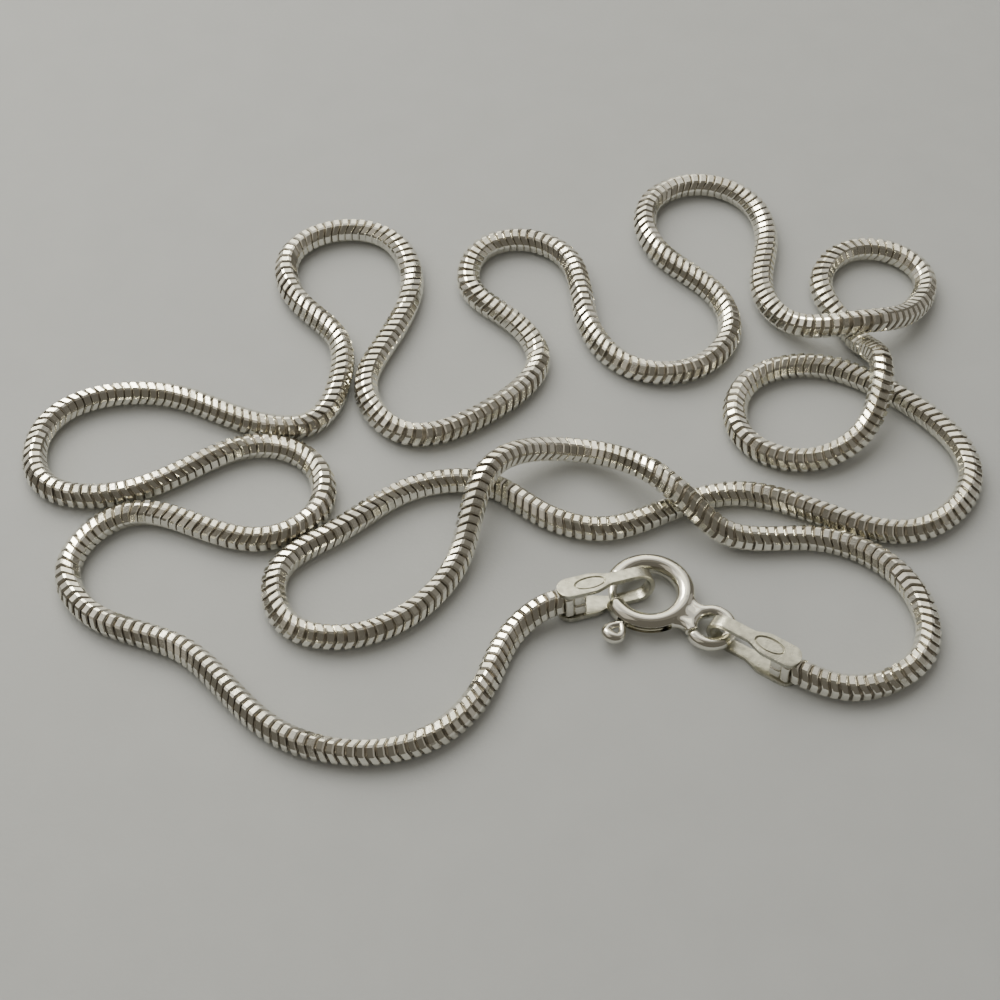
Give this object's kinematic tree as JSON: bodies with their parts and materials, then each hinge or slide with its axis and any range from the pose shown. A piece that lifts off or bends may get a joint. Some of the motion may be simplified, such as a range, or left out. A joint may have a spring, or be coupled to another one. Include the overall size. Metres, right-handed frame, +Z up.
{
  "type": "snake chain necklace",
  "caption": "Round snake chain necklace, fastened with a sprung bolt ring between folded end caps and lying in loose bends on a flat surface.",
  "frame": {"origin": "on the surface that the necklace lies on, under the middle of the area that it covers", "axes": "+Z up from the surface; +X to the right and +Y away from the clasp, seen with the clasp at the front"},
  "size_m": [0.0649, 0.051, 0.0036],
  "materials": {
    "chain": "bright silver plates with fine bevelled edges",
    "end_caps": "softly polished silver sheet",
    "clasp": "mirror polished silver"
  },
  "bodies": {
    "necklace": {"snake_chain_left": "chain", "snake_chain_right": "chain", "left_end_cap": "end_caps", "right_end_cap": "end_caps", "clasp_ring": "clasp"},
    "bolt": {"clasp_bolt": "clasp"}
  },
  "joints": [
    {"name": "bolt_pull", "type": "hinge", "parent": "necklace", "child": "bolt", "pos_m": [0.00961, -0.0139, 0.00095], "axis": [0, 0, 1], "range_deg": [0, 56], "stiffness_Nm_per_rad": 0.001, "springref_deg": -20.05}
  ]
}
